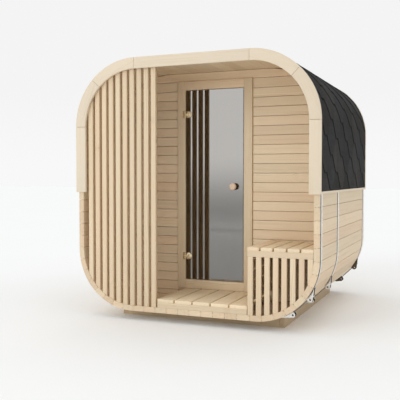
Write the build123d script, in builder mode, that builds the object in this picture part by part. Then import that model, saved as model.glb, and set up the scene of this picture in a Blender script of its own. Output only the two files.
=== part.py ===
"""Garden sauna: a rounded-square barrel of front-to-back staves on a low timber cradle.

Millimetres. +X is to the right seen from the front, +Y runs from the front to the back and
+Z is up. The origin is on the ground, under the middle of the building. Depths named *_back
are measured from the front end of the staves.
"""

import os
from math import acos, cos, degrees, radians, sin, sqrt, tan

from build123d import *

os.makedirs("parts", exist_ok=True)

# Shell of staves
shell_width = 2130.0
shell_height = 2130.0
shell_length = 2100.0
stave_thickness = 45.0
top_radius = 557.0
bottom_radius = 515.0
seat_gap = 0.3

# Base frame under the shell
base_height = 78.0
base_inset = 325.0
base_timber = 45.0
base_front_back = 205.0
base_rear_setback = 120.0

# Steel bands and their tensioners, on the lower right corner
band_width = 45.0
band_thickness = 1.5
band_end_setback = 45.0
middle_band_back = 690.0
lug_length = 100.0
lug_spacing = 181.0
lug_rail_gap = 8.0
lug_nose_radius = 19.0
lug_hole_height = 25.0
lug_hole_radius = 8.0
lug_plate = 3.0
band_end_reach = 18.0
web_back = 33.0
web_head = 12.0
web_thickness = 4.0
rod_radius = 4.0
rod_shell_gap = 1.2
rod_hole_gap = 0.5
rod_end = 12.0
washer_radius = 8.0
washer_thickness = 1.6
nut_radius = 7.5
nut_height = 6.5

# Roof covering and the boards that trim its edges
roof_thickness = 8.0
roof_side_drop = 543.0
drip_batten_height = 20.0
drip_batten_depth = 9.0
fascia_width = 93.0
fascia_thickness = 25.0
fascia_proud = 13.0
fascia_post_drop = 564.0
fascia_joint = 2.0

# End walls
wall_thickness = 45.0
front_wall_back = 620.0
rear_wall_setback = 60.0

# Door frame, leaf and fittings
frame_width = 718.0
frame_center_x = -30.5
over_door_height = 77.0
frame_member = 77.0
frame_sill_member = 81.0
frame_proud = 17.0
frame_depth = 57.0
frame_lip = 12.0
leaf_gap = 6.0
leaf_recess = 5.0
leaf_back_gap = 7.0
glass_thickness = 8.0
hinge_pin_x_gap = 3.0
hinge_pin_proud = 11.0
hinge_pin_radius = 3.0
hinge_pin_clearance = 0.4
hinge_knuckle_radius = 6.0
hinge_height = 62.0
hinge_knuckle_gap = 1.0
hinge_plate_width = 24.0
hinge_plate_thickness = 5.0
clamp_width = 54.0
clamp_corner = 22.0
clamp_thickness = 5.0
clamp_edge_gap = 10.5
clamp_notch_depth = 18.0
clamp_notch_height = 30.0
hinge_upper_drop = 222.0
hinge_lower_rise = 216.0
knob_edge_distance = 85.0
knob_height = 937.0
knob_radius = 31.0
knob_chamfer = 9.0
knob_head_length = 34.0
knob_neck_radius = 13.0
knob_foot_radius = 17.0
knob_foot_length = 6.0
knob_length = 55.0
spindle_radius = 5.0
spindle_clearance = 0.5

# Slat screen, porch floor and bench
slat_width = 42.0
slat_thickness = 28.0
slat_setback = 3.0
slat_gap = 25.5
screen_side_gap = 50.6
screen_slats = 10
floor_board = 28.0
floor_bearer = 45.0
floor_screen_gap = 16.6
floor_bench_gap = 4.0
porch_boards = 5
cabin_boards = 7
floor_gap = 14.0
floor_back_gap = 2.0
bench_door_gap = 161.5
bench_height = 469.0
bench_boards = 5
bench_gap = 15.0
bench_rail_height = 47.0
bench_side_gap = 2.0
bench_slats = 8
bench_side_rows = 5
bench_side_pitch = 83.0
cladding_thickness = 20.0
cladding_gap = 8.0

# Bench along the left of the cabin
cabin_bench_depth = 656.0
cabin_bench_boards = 6
cabin_bench_rows = 6
cabin_bench_timber = 45.0
cabin_bench_leg_inset = 73.0

# Places worked out from the sizes above
front_y = -shell_length / 2
rear_y = shell_length / 2
shell_bottom_z = base_height
shell_top_z = shell_bottom_z + shell_height
shell_mid_z = (shell_bottom_z + shell_top_z) / 2
bottom_center_x = shell_width / 2 - bottom_radius
bottom_center_z = shell_bottom_z + bottom_radius
top_center_x = shell_width / 2 - top_radius
top_center_z = shell_top_z - top_radius
inner_bottom_z = shell_bottom_z + stave_thickness
inner_top_z = shell_top_z - stave_thickness
inner_half_width = shell_width / 2 - stave_thickness
floor_top_z = inner_bottom_z + floor_bearer + floor_board
wall_front_y = front_y + front_wall_back
frame_front_y = wall_front_y - frame_proud
frame_left_x = frame_center_x - frame_width / 2
frame_right_x = frame_center_x + frame_width / 2
frame_bottom_z = floor_top_z
frame_top_z = inner_top_z - over_door_height
opening_left_x = frame_left_x + frame_member
opening_right_x = frame_right_x - frame_member
opening_bottom_z = frame_bottom_z + frame_sill_member
opening_top_z = frame_top_z - frame_member
leaf_left_x = opening_left_x + leaf_gap
leaf_right_x = opening_right_x - leaf_gap
leaf_front_y = frame_front_y + leaf_recess
leaf_back_y = leaf_front_y + glass_thickness
hinge_x = opening_left_x + hinge_pin_x_gap
hinge_y = frame_front_y - hinge_pin_proud
hinge_heights = (opening_bottom_z + hinge_lower_rise, opening_top_z - hinge_upper_drop)
knob_x = leaf_right_x - knob_edge_distance
knob_z = floor_top_z + knob_height
screen_y = front_y + slat_setback
bench_left_x = frame_right_x + bench_door_gap
bench_top_z = floor_top_z + bench_height
rear_wall_y = rear_y - rear_wall_setback - wall_thickness
band_ys = (
    front_y + band_end_setback,
    front_y + middle_band_back,
    rear_y - band_end_setback - band_width,
)


def save(part, name):
    """Label a finished piece and write it."""
    part.label = name
    export_step(part, f"parts/{name}.step")


def upright(y):
    """Plane that faces the front at depth y: its x is X and its y is Z."""
    return Plane.XZ.offset(-y)


def shell_outline(grow):
    """Rounded square of the shell, grown outwards by grow, in the x and y of upright()."""
    with BuildSketch() as outline:
        with Locations((0, shell_mid_z)):
            Rectangle(shell_width + 2 * grow, shell_height + 2 * grow)
        fillet(outline.vertices().group_by(Axis.Y)[-1], top_radius + grow)
        fillet(outline.vertices().group_by(Axis.Y)[0], bottom_radius + grow)
    return outline.sketch


def arc_strip(center, outer, inner, start, sweep):
    """Strip between two concentric arcs, in the x and y of upright()."""
    with BuildSketch() as strip:
        with BuildLine():
            outside = CenterArc(center, outer, start, sweep)
            inside = CenterArc(center, inner, start, sweep)
            Line(outside @ 0, inside @ 0)
            Line(outside @ 1, inside @ 1)
        make_face()
    return strip.sketch


def timber(x0, x1, y0, y1, z0, z1):
    """Square-cut length of timber between two corners; for a BuildPart."""
    with Locations(((x0 + x1) / 2, (y0 + y1) / 2, (z0 + z1) / 2)):
        Box(x1 - x0, y1 - y0, z1 - z0)


# Base frame: two rails shaped to the round of the shell, and three cross timbers
base_front_y = front_y + base_front_back
base_rear_y = rear_y - base_rear_setback
rail_outer_x = shell_width / 2 - base_inset
rail_inner_x = rail_outer_x - base_timber

for side_name, side in (("left", -1), ("right", 1)):
    with BuildPart() as rail:
        with BuildSketch(upright(base_front_y)):
            with Locations((side * (rail_outer_x + rail_inner_x) / 2, bottom_center_z / 2)):
                Rectangle(base_timber, bottom_center_z)
            with Locations((side * bottom_center_x, bottom_center_z)):
                Circle(bottom_radius + seat_gap, mode=Mode.SUBTRACT)
        extrude(amount=base_front_y - base_rear_y)
        with BuildSketch(upright(band_ys[1] - band_thickness)):
            with Locations((side * bottom_center_x, bottom_center_z)):
                Circle(bottom_radius + 2 * seat_gap + 2 * band_thickness)
        extrude(amount=-band_width - 2 * band_thickness, mode=Mode.SUBTRACT)
    save(rail.part, f"base_rail_{side_name}")

beam_ys = {
    "base_front_beam": base_front_y,
    "base_middle_beam": (base_front_y + base_rear_y - base_timber) / 2,
    "base_rear_beam": base_rear_y - base_timber,
}
for beam_name, beam_y in beam_ys.items():
    with BuildPart() as beam:
        with BuildSketch(upright(beam_y)):
            with Locations((0, bottom_center_z / 2)):
                Rectangle(2 * (rail_inner_x - seat_gap), bottom_center_z)
        extrude(amount=-base_timber)
        with BuildSketch(upright(beam_y)):
            add(shell_outline(seat_gap))
        extrude(amount=-base_timber, mode=Mode.SUBTRACT)
    save(beam.part, beam_name)

# Shell of staves: four flat sides and four rounds
with BuildPart() as shell_floor:
    timber(-bottom_center_x, bottom_center_x, front_y, rear_y, shell_bottom_z, inner_bottom_z)
save(shell_floor.part, "shell_floor")

with BuildPart() as shell_top:
    timber(-top_center_x, top_center_x, front_y, rear_y, inner_top_z, shell_top_z)
save(shell_top.part, "shell_top")

for side_name, outside_x, inside_x in (
    ("left", -shell_width / 2, -inner_half_width),
    ("right", inner_half_width, shell_width / 2),
):
    with BuildPart() as shell_side:
        timber(outside_x, inside_x, front_y, rear_y, bottom_center_z, top_center_z)
    save(shell_side.part, f"shell_{side_name}_side")

shell_rounds = {
    "shell_top_left_round": ((-top_center_x, top_center_z), top_radius, 90),
    "shell_top_right_round": ((top_center_x, top_center_z), top_radius, 0),
    "shell_bottom_left_round": ((-bottom_center_x, bottom_center_z), bottom_radius, 180),
    "shell_bottom_right_round": ((bottom_center_x, bottom_center_z), bottom_radius, 270),
}
for round_name, (center, radius, start) in shell_rounds.items():
    with BuildPart() as shell_round:
        with BuildSketch(upright(front_y)):
            add(arc_strip(center, radius, radius - stave_thickness, start, 90))
        extrude(amount=-shell_length)
    save(shell_round.part, round_name)

# Steel bands: each runs round the shell and ends in two lugs that a bolt pulls together
band_outer = seat_gap + band_thickness
foot_radius = bottom_radius + band_outer
rod_circle = bottom_radius + rod_shell_gap + rod_radius


def turn_of(length):
    """Angle in degrees that a length along the band takes at the lower right round."""
    return degrees(length / foot_radius)


rail_angle = -degrees(acos((rail_outer_x - bottom_center_x) / foot_radius))
lug_lower_angle = rail_angle + turn_of(lug_rail_gap + lug_length)
lug_upper_angle = lug_lower_angle + turn_of(lug_spacing)
lug_middle_angle = (lug_lower_angle + lug_upper_angle) / 2
web_reach = rod_circle * tan(radians(turn_of(lug_spacing / 2 + web_back)))
web_foot = rod_circle - sqrt(foot_radius**2 - web_reach**2)
web_face = web_reach + web_thickness / 2


def corner_point(radius, angle):
    """Point on a circle about the centre of the lower right round, in X and Z."""
    turn = radians(angle)
    return (bottom_center_x + radius * cos(turn), bottom_center_z + radius * sin(turn))


def lug_cheek(hole_angle, away):
    """Side plate of a lug, rounded about its hole, in the x and y of upright()."""
    with BuildSketch() as cheek:
        with BuildLine():
            CenterArc(corner_point(bottom_radius + lug_hole_height, hole_angle), lug_nose_radius, 0, 360)
            Line(
                corner_point(foot_radius, hole_angle + away * turn_of(lug_length)),
                corner_point(foot_radius, hole_angle - away * turn_of(band_end_reach)),
            )
        make_hull()
        with Locations((bottom_center_x, bottom_center_z)):
            Circle(bottom_radius + seat_gap, mode=Mode.SUBTRACT)
        with Locations(corner_point(bottom_radius + lug_hole_height, hole_angle)):
            Circle(lug_hole_radius, mode=Mode.SUBTRACT)
    return cheek.sketch


def lug_webs():
    """Plates between the cheeks that the bolt pulls on, in the x and y of upright()."""
    middle_x, middle_z = corner_point(rod_circle, lug_middle_angle)
    with BuildSketch() as webs:
        with Locations(Location((middle_x, middle_z, 0), (0, 0, lug_middle_angle - 90))):
            with Locations(*[(side * web_reach, (web_head - web_foot) / 2) for side in (-1, 1)]):
                Rectangle(web_thickness, web_head + web_foot)
    return webs.sketch


def rod_plane(band_y):
    """Plane across a tension bolt at its middle, with z along the bolt."""
    middle_x, middle_z = corner_point(rod_circle, lug_middle_angle)
    turn = radians(lug_middle_angle)
    return Plane(
        origin=(middle_x, band_y + band_width / 2, middle_z),
        z_dir=(sin(turn), 0, -cos(turn)),
    )


with BuildPart() as steel_bands:
    for band_y in band_ys:
        with BuildSketch(upright(band_y)):
            add(shell_outline(band_outer))
        extrude(amount=-band_width)
        with BuildSketch(upright(band_y)):
            add(shell_outline(seat_gap))
        extrude(amount=-band_width, mode=Mode.SUBTRACT)
        with BuildSketch(upright(band_y)):
            add(
                arc_strip(
                    (bottom_center_x, bottom_center_z),
                    bottom_radius + 2 * band_outer,
                    bottom_radius - band_outer,
                    lug_lower_angle + turn_of(band_end_reach),
                    turn_of(lug_spacing - 2 * band_end_reach),
                )
            )
        extrude(amount=-band_width, mode=Mode.SUBTRACT)
        with BuildSketch(upright(band_y)):
            add(lug_webs())
        extrude(amount=-band_width)
        for cheek_y in (band_y, band_y + band_width - lug_plate):
            with BuildSketch(upright(cheek_y)):
                add(lug_cheek(lug_upper_angle, 1))
            extrude(amount=-lug_plate)
            with BuildSketch(upright(cheek_y)):
                add(lug_cheek(lug_lower_angle, -1))
            extrude(amount=-lug_plate)
        with BuildSketch(rod_plane(band_y)):
            Circle(rod_radius + rod_hole_gap)
        extrude(amount=web_face, both=True, mode=Mode.SUBTRACT)
save(steel_bands.part, "steel_bands")

with BuildPart() as tension_bolts:
    for band_y in band_ys:
        across = rod_plane(band_y)
        with BuildSketch(across):
            Circle(rod_radius)
        extrude(amount=web_face + washer_thickness + nut_height + rod_end, both=True)
        for side in (-1, 1):
            with BuildSketch(across.offset(side * web_face)):
                Circle(washer_radius)
            extrude(amount=side * washer_thickness)
            with BuildSketch(across.offset(side * (web_face + washer_thickness))):
                RegularPolygon(nut_radius, 6)
            extrude(amount=side * nut_height)
save(tension_bolts.part, "tension_bolts")

# Roof covering: one bent sheet over each shoulder and a flat one between them
roof_inner = band_outer + seat_gap
roof_outer = roof_inner + roof_thickness
roof_hem_z = top_center_z - roof_side_drop

with BuildPart() as roof_middle:
    timber(
        -top_center_x,
        top_center_x,
        front_y,
        rear_y,
        shell_top_z + roof_inner,
        shell_top_z + roof_outer,
    )
save(roof_middle.part, "roof_covering_middle")

for side_name, side, start in (("left", -1, 90), ("right", 1, 0)):
    sheet_x = side * (shell_width / 2 + (roof_inner + roof_outer) / 2)
    with BuildPart() as roof_side:
        with BuildSketch(upright(front_y)):
            add(
                arc_strip(
                    (side * top_center_x, top_center_z),
                    top_radius + roof_outer,
                    top_radius + roof_inner,
                    start,
                    90,
                )
            )
            with Locations((sheet_x, (roof_hem_z + top_center_z) / 2)):
                Rectangle(roof_thickness, top_center_z - roof_hem_z)
        extrude(amount=-shell_length)
    save(roof_side.part, f"roof_covering_{side_name}")

with BuildPart() as drip_battens:
    for side in (-1, 1):
        inner_x = shell_width / 2 + roof_inner
        low_x, high_x = sorted((side * inner_x, side * (inner_x + drip_batten_depth)))
        timber(low_x, high_x, front_y, rear_y, roof_hem_z - drip_batten_height, roof_hem_z)
save(drip_battens.part, "drip_battens")

# Fascia: seven boards round each end of the roof, butted with open joints
fascia_outer_x = shell_width / 2 + fascia_proud
fascia_inner_x = fascia_outer_x - fascia_width
fascia_top_z = shell_top_z + fascia_proud
fascia_radius = top_radius + fascia_proud
fascia_foot_z = top_center_z - fascia_post_drop
joint_angle = fascia_joint / fascia_radius / radians(1)


def fascia_post(side):
    """Straight board beside the mouth, in the x and y of upright()."""
    post_top_z = top_center_z - fascia_joint / 2
    post_x = side * (fascia_outer_x + fascia_inner_x) / 2
    with BuildSketch() as post:
        with Locations((post_x, (fascia_foot_z + post_top_z) / 2)):
            Rectangle(fascia_width, post_top_z - fascia_foot_z)
    return post.sketch


def fascia_lintel():
    """Straight board across the top, in the x and y of upright()."""
    with BuildSketch() as lintel:
        with Locations((0, fascia_top_z - fascia_width / 2)):
            Rectangle(2 * top_center_x - fascia_joint, fascia_width)
    return lintel.sketch


def fascia_bend(side, start):
    """One eighth of a ring, from start degrees on, in the x and y of upright()."""
    return arc_strip(
        (side * top_center_x, top_center_z),
        fascia_radius,
        fascia_radius - fascia_width,
        start + joint_angle / 2,
        45 - joint_angle,
    )


fascia_boards = {
    "left_post": (fascia_post, (-1,)),
    "left_lower_bend": (fascia_bend, (-1, 135)),
    "left_upper_bend": (fascia_bend, (-1, 90)),
    "lintel": (fascia_lintel, ()),
    "right_upper_bend": (fascia_bend, (1, 45)),
    "right_lower_bend": (fascia_bend, (1, 0)),
    "right_post": (fascia_post, (1,)),
}
for board_name, (outline, place) in fascia_boards.items():
    with BuildPart() as fascia_board:
        with BuildSketch(upright(front_y - fascia_thickness)):
            add(outline(*place))
        extrude(amount=-fascia_thickness)
    save(fascia_board.part, f"front_fascia_{board_name}")

with BuildPart() as rear_fascia:
    for outline, place in fascia_boards.values():
        with BuildSketch(upright(rear_y)):
            add(outline(*place))
        extrude(amount=-fascia_thickness)
save(rear_fascia.part, "rear_fascia")

# Space inside the shell: what stands in it is scribed to this
with BuildPart() as shell_inside:
    with BuildSketch(upright(front_y)):
        add(shell_outline(-stave_thickness - seat_gap))
    extrude(amount=-shell_length)

# End walls; the front one leaves the doorway free
wall_back_y = wall_front_y + wall_thickness
doorway_left_x = frame_left_x - seat_gap
doorway_right_x = frame_right_x + seat_gap
doorway_top_z = frame_top_z + seat_gap

wall_pieces = {
    "left": (-shell_width, doorway_left_x, 0, shell_top_z),
    "right": (doorway_right_x, shell_width, 0, shell_top_z),
    "over_door": (doorway_left_x, doorway_right_x, doorway_top_z, shell_top_z),
    "under_door": (doorway_left_x, doorway_right_x, 0, frame_bottom_z - seat_gap),
}
for wall_name, (low_x, high_x, low_z, high_z) in wall_pieces.items():
    with BuildPart() as wall_piece:
        timber(low_x, high_x, wall_front_y, wall_back_y, low_z, high_z)
        add(shell_inside.part, mode=Mode.INTERSECT)
    save(wall_piece.part, f"front_wall_{wall_name}")

with BuildPart() as rear_wall:
    rear_wall_back_y = rear_wall_y + wall_thickness
    timber(-shell_width, shell_width, rear_wall_y, rear_wall_back_y, 0, shell_top_z)
    add(shell_inside.part, mode=Mode.INTERSECT)
save(rear_wall.part, "rear_wall")

# Door frame: rebated jambs, head and sill; the lip behind the rebate stops the leaf
lip_front_y = leaf_back_y + clamp_thickness + leaf_back_gap
frame_back_y = frame_front_y + frame_depth

with BuildPart() as door_jambs:
    for side, outer_x, inner_x in (
        (1, frame_left_x, opening_left_x),
        (-1, frame_right_x, opening_right_x),
    ):
        with BuildSketch(Plane.XY.offset(frame_bottom_z)):
            with BuildLine():
                Polyline(
                    (outer_x, frame_front_y),
                    (inner_x, frame_front_y),
                    (inner_x, lip_front_y),
                    (inner_x + side * frame_lip, lip_front_y),
                    (inner_x + side * frame_lip, frame_back_y),
                    (outer_x, frame_back_y),
                    close=True,
                )
            make_face()
        extrude(amount=frame_top_z - frame_bottom_z)
save(door_jambs.part, "door_jambs")

for rail_name, side, outer_z, inner_z in (
    ("door_head", -1, frame_top_z, opening_top_z),
    ("door_sill", 1, frame_bottom_z, opening_bottom_z),
):
    lip_z = inner_z + side * frame_lip
    with BuildPart() as frame_rail:
        timber(
            opening_left_x,
            opening_right_x,
            frame_front_y,
            lip_front_y,
            min(outer_z, inner_z),
            max(outer_z, inner_z),
        )
        timber(
            opening_left_x + frame_lip,
            opening_right_x - frame_lip,
            lip_front_y,
            frame_back_y,
            min(outer_z, lip_z),
            max(outer_z, lip_z),
        )
    save(frame_rail.part, rail_name)

# Glass leaf, bored for the knob's spindle and notched for the hinge clamps
clamp_left_x = opening_left_x + clamp_edge_gap

with BuildPart() as door_glass:
    timber(
        leaf_left_x,
        leaf_right_x,
        leaf_front_y,
        leaf_back_y,
        opening_bottom_z + leaf_gap,
        opening_top_z - leaf_gap,
    )
    with BuildSketch(upright(leaf_front_y)):
        with Locations((knob_x, knob_z)):
            Circle(spindle_radius + spindle_clearance)
        with Locations(*[(leaf_left_x, hinge_z) for hinge_z in hinge_heights]):
            Rectangle(2 * clamp_notch_depth, clamp_notch_height)
    extrude(amount=-glass_thickness, mode=Mode.SUBTRACT)
save(door_glass.part, "door_glass")

# Hinges: the fixed half carries the pin and two knuckles, the clamp turns between them
knuckle_height = (hinge_height - 2 * hinge_knuckle_gap) / 3
clamp_front_y = leaf_front_y - clamp_thickness
plate_front_y = frame_front_y - hinge_plate_thickness

with BuildPart() as hinge_plates:
    for hinge_z in hinge_heights:
        low_z = hinge_z - hinge_height / 2
        high_z = low_z + hinge_height
        plate_left_x = opening_left_x - hinge_plate_width
        timber(plate_left_x, opening_left_x, plate_front_y, frame_front_y, low_z, high_z)
        for knuckle_z in (low_z, high_z - knuckle_height):
            knuckle_top_z = knuckle_z + knuckle_height
            arm_left_x = opening_left_x - hinge_knuckle_radius
            timber(arm_left_x, hinge_x, hinge_y, plate_front_y, knuckle_z, knuckle_top_z)
            with Locations((hinge_x, hinge_y, (knuckle_z + knuckle_top_z) / 2)):
                Cylinder(hinge_knuckle_radius, knuckle_height)
        with Locations((hinge_x, hinge_y, hinge_z)):
            Cylinder(hinge_pin_radius, hinge_height)
save(hinge_plates.part, "hinge_plates")

with BuildPart() as hinge_clamps:
    for hinge_z in hinge_heights:
        for clamp_y in (clamp_front_y, leaf_back_y):
            with BuildSketch(upright(clamp_y)) as clamp_plate:
                with Locations((clamp_left_x + clamp_width / 2, hinge_z)):
                    Rectangle(clamp_width, hinge_height)
                chamfer(clamp_plate.vertices().group_by(Axis.X)[-1], clamp_corner)
            extrude(amount=-clamp_thickness)
        web_right_x = leaf_left_x + clamp_notch_depth - seat_gap
        web_half = clamp_notch_height / 2 - seat_gap
        web_low_z = hinge_z - web_half
        web_high_z = hinge_z + web_half
        timber(clamp_left_x, web_right_x, leaf_front_y, leaf_back_y, web_low_z, web_high_z)
        knuckle_z = hinge_z - knuckle_height / 2
        arm_right_x = clamp_left_x + clamp_thickness
        arm_back_y = clamp_front_y + clamp_thickness
        timber(hinge_x, arm_right_x, hinge_y, arm_back_y, knuckle_z, knuckle_z + knuckle_height)
        with Locations((hinge_x, hinge_y, hinge_z)):
            Cylinder(hinge_knuckle_radius, knuckle_height)
            Cylinder(hinge_pin_radius + hinge_pin_clearance, hinge_height, mode=Mode.SUBTRACT)
save(hinge_clamps.part, "hinge_clamps")

# Turned knobs, one on each face of the glass, on a common spindle
knob_front_y = leaf_front_y - knob_length
knob_head_y = knob_front_y + knob_head_length

with BuildPart() as door_knobs:
    with BuildSketch(Plane.YZ.offset(knob_x)) as knob_profile:
        with BuildLine():
            Polyline(
                (leaf_front_y, knob_z),
                (leaf_front_y, knob_z + knob_foot_radius),
                (leaf_front_y - knob_foot_length, knob_z + knob_neck_radius),
                (knob_head_y, knob_z + knob_neck_radius),
                (knob_head_y, knob_z + knob_radius),
                (knob_front_y, knob_z + knob_radius),
                (knob_front_y, knob_z),
                close=True,
            )
        make_face()
        chamfer(knob_profile.vertices().group_by(Axis.Y)[-1], knob_chamfer)
    revolve(axis=Axis((knob_x, 0, knob_z), (0, 1, 0)))
    mirror(about=Plane.XZ.offset(-(leaf_front_y + leaf_back_y) / 2))
    with BuildSketch(upright(leaf_front_y)):
        with Locations((knob_x, knob_z)):
            Circle(spindle_radius)
    extrude(amount=-glass_thickness)
save(door_knobs.part, "door_knobs")

# Slat screen on the left of the mouth, scribed to the inside of the shell
screen_left_x = screen_side_gap - inner_half_width
screen_pitch = slat_width + slat_gap

with BuildPart() as screen:
    for i in range(screen_slats):
        slat_x = screen_left_x + i * screen_pitch
        slat_right_x = slat_x + slat_width
        timber(slat_x, slat_right_x, screen_y, screen_y + slat_thickness, 0, shell_top_z)
    add(shell_inside.part, mode=Mode.INTERSECT)
save(screen.part, "screen_slats")

# Porch floor and cabin floor: boards on bearers that lie on the shell
bearer_z = inner_bottom_z + seat_gap
board_z = floor_top_z - floor_board
porch_left_x = slat_right_x + floor_screen_gap
porch_right_x = bench_left_x - floor_bench_gap
porch_back_y = frame_front_y - floor_back_gap
cabin_half_width = bottom_center_x
cabin_front_y = frame_back_y + floor_back_gap + frame_lip
cabin_back_y = rear_wall_y - floor_back_gap

floors = {
    "porch_floor_boards": (porch_left_x, porch_right_x, front_y, porch_back_y, porch_boards),
    "cabin_floor_boards": (
        -cabin_half_width,
        cabin_half_width,
        cabin_front_y,
        cabin_back_y,
        cabin_boards,
    ),
}
for floor_name, (left_x, right_x, start_y, end_y, boards) in floors.items():
    board_width = (right_x - left_x - (boards - 1) * floor_gap) / boards
    with BuildPart() as floor:
        for i in range(boards):
            board_x = left_x + i * (board_width + floor_gap)
            timber(board_x, board_x + board_width, start_y, end_y, board_z, floor_top_z)
        add(shell_inside.part, mode=Mode.INTERSECT)
    save(floor.part, floor_name)

with BuildPart() as floor_bearers:
    for left_x, right_x, start_y, end_y, _ in floors.values():
        middle_y = (start_y + end_y - floor_bearer) / 2
        for bearer_y in (start_y, middle_y, end_y - floor_bearer):
            timber(left_x, right_x, bearer_y, bearer_y + floor_bearer, bearer_z, board_z)
    add(shell_inside.part, mode=Mode.INTERSECT)
save(floor_bearers.part, "floor_bearers")

# Bench on the right of the porch, scribed to the inside of the shell
bench_right_x = inner_half_width - bench_side_gap
bench_back_y = wall_front_y - bench_side_gap
bench_width = bench_right_x - bench_left_x
bench_board_width = (bench_width - (bench_boards - 1) * bench_gap) / bench_boards
bench_board_z = bench_top_z - floor_board
bench_rail_z = bench_board_z - bench_rail_height
bench_slat_x = bench_left_x + bench_side_gap
bench_slat_pitch = (bench_width - 2 * bench_side_gap - slat_width) / (bench_slats - 1)
bench_slat_back_y = front_y + slat_thickness
bench_post_y = bench_back_y - slat_thickness

with BuildPart() as bench_top:
    for i in range(bench_boards):
        board_x = bench_left_x + i * (bench_board_width + bench_gap)
        board_end_x = board_x + bench_board_width
        timber(board_x, board_end_x, front_y, bench_back_y, bench_board_z, bench_top_z)
    add(shell_inside.part, mode=Mode.INTERSECT)
save(bench_top.part, "bench_top_boards")

with BuildPart() as bench_rails:
    for rail_y in (front_y, bench_post_y):
        rail_back_y = rail_y + slat_thickness
        timber(bench_left_x, bench_right_x, rail_y, rail_back_y, bench_rail_z, bench_board_z)
    add(shell_inside.part, mode=Mode.INTERSECT)
save(bench_rails.part, "bench_rails")

with BuildPart() as bench_front:
    for i in range(bench_slats):
        slat_x = bench_slat_x + i * bench_slat_pitch
        timber(slat_x, slat_x + slat_width, front_y, bench_slat_back_y, 0, bench_rail_z)
    slat_end_x = bench_slat_x + slat_width
    timber(bench_slat_x, slat_end_x, bench_post_y, bench_back_y, 0, bench_rail_z)
    add(shell_inside.part, mode=Mode.INTERSECT)
save(bench_front.part, "bench_front_slats")

# Bench along the left of the cabin: boards on three frames, closed in front like the porch bench
cabin_bench_left_x = bench_side_gap - inner_half_width
cabin_bench_right_x = cabin_bench_left_x + cabin_bench_depth
cabin_bench_front_y = wall_back_y + bench_side_gap
cabin_bench_back_y = rear_wall_y - bench_side_gap
cabin_bench_gaps = (cabin_bench_boards - 1) * bench_gap
cabin_bench_board_width = (cabin_bench_depth - cabin_bench_gaps) / cabin_bench_boards
cabin_bench_rail_z = bench_board_z - cabin_bench_timber
cabin_bench_rail_x = cabin_bench_right_x - cladding_thickness

with BuildPart() as cabin_bench_top:
    for i in range(cabin_bench_boards):
        board_x = cabin_bench_left_x + i * (cabin_bench_board_width + bench_gap)
        board_end_x = board_x + cabin_bench_board_width
        timber(
            board_x,
            board_end_x,
            cabin_bench_front_y,
            cabin_bench_back_y,
            bench_board_z,
            bench_top_z,
        )
    add(shell_inside.part, mode=Mode.INTERSECT)
save(cabin_bench_top.part, "cabin_bench_boards")

with BuildPart() as cabin_bench_frames:
    middle_y = (cabin_bench_front_y + cabin_bench_back_y - cabin_bench_timber) / 2
    for start_y in (cabin_bench_front_y, middle_y, cabin_bench_back_y - cabin_bench_timber):
        end_y = start_y + cabin_bench_timber
        leg_x = cabin_bench_left_x + cabin_bench_leg_inset
        front_leg_x = cabin_bench_rail_x - cabin_bench_timber
        timber(
            cabin_bench_left_x,
            cabin_bench_rail_x,
            start_y,
            end_y,
            cabin_bench_rail_z,
            bench_board_z,
        )
        timber(leg_x, leg_x + cabin_bench_timber, start_y, end_y, 0, bench_board_z)
        timber(front_leg_x, cabin_bench_rail_x, start_y, end_y, floor_top_z, bench_board_z)
    add(shell_inside.part, mode=Mode.INTERSECT)
save(cabin_bench_frames.part, "cabin_bench_frames")

# Boards that close the benches: the open side of the porch bench and the front of the other
cladding = (
    (bench_slat_x, bench_slat_back_y, bench_post_y, bench_side_pitch, bench_side_rows),
    (
        cabin_bench_rail_x,
        cabin_bench_front_y,
        cabin_bench_back_y,
        (bench_board_z - floor_top_z) / cabin_bench_rows,
        cabin_bench_rows,
    ),
)
with BuildPart() as bench_cladding:
    for board_x, start_y, end_y, pitch, rows in cladding:
        for row in range(rows):
            high_z = bench_board_z - row * pitch
            low_z = high_z - pitch + cladding_gap
            timber(board_x, board_x + cladding_thickness, start_y, end_y, low_z, high_z)
    add(shell_inside.part, mode=Mode.INTERSECT)
save(bench_cladding.part, "bench_cladding_boards")
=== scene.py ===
"""Garden sauna: the finish of every board, tab and fitting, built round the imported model.

Metres. +X is to the right seen from the front, +Y runs to the back and +Z is up.
"""

import random
from math import ceil, cos, pi, radians, sin, sqrt

import bmesh
import bpy
import numpy as np
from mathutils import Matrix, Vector


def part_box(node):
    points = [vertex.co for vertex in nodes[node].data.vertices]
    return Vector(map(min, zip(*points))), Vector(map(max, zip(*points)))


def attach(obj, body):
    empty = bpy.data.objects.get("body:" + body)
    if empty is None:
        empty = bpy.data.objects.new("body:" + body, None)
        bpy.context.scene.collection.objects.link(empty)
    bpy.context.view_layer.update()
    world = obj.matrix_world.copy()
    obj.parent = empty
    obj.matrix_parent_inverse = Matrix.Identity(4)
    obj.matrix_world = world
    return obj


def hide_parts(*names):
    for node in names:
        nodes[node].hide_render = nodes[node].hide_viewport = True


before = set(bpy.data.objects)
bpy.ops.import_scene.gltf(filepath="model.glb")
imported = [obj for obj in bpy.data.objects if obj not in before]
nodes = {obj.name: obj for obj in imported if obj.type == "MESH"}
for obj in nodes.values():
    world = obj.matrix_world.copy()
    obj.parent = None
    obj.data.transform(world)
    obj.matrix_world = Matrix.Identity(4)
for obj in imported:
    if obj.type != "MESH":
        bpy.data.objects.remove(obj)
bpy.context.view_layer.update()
chance = random.Random(41)

BUILDING = "building"
DOOR = "door"


def span(*names):
    """Lowest and highest corner of several nodes together."""
    lows, highs = zip(*(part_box(name) for name in names))
    low = Vector([min(corner[i] for corner in lows) for i in range(3)])
    high = Vector([max(corner[i] for corner in highs) for i in range(3)])
    return low, high


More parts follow.
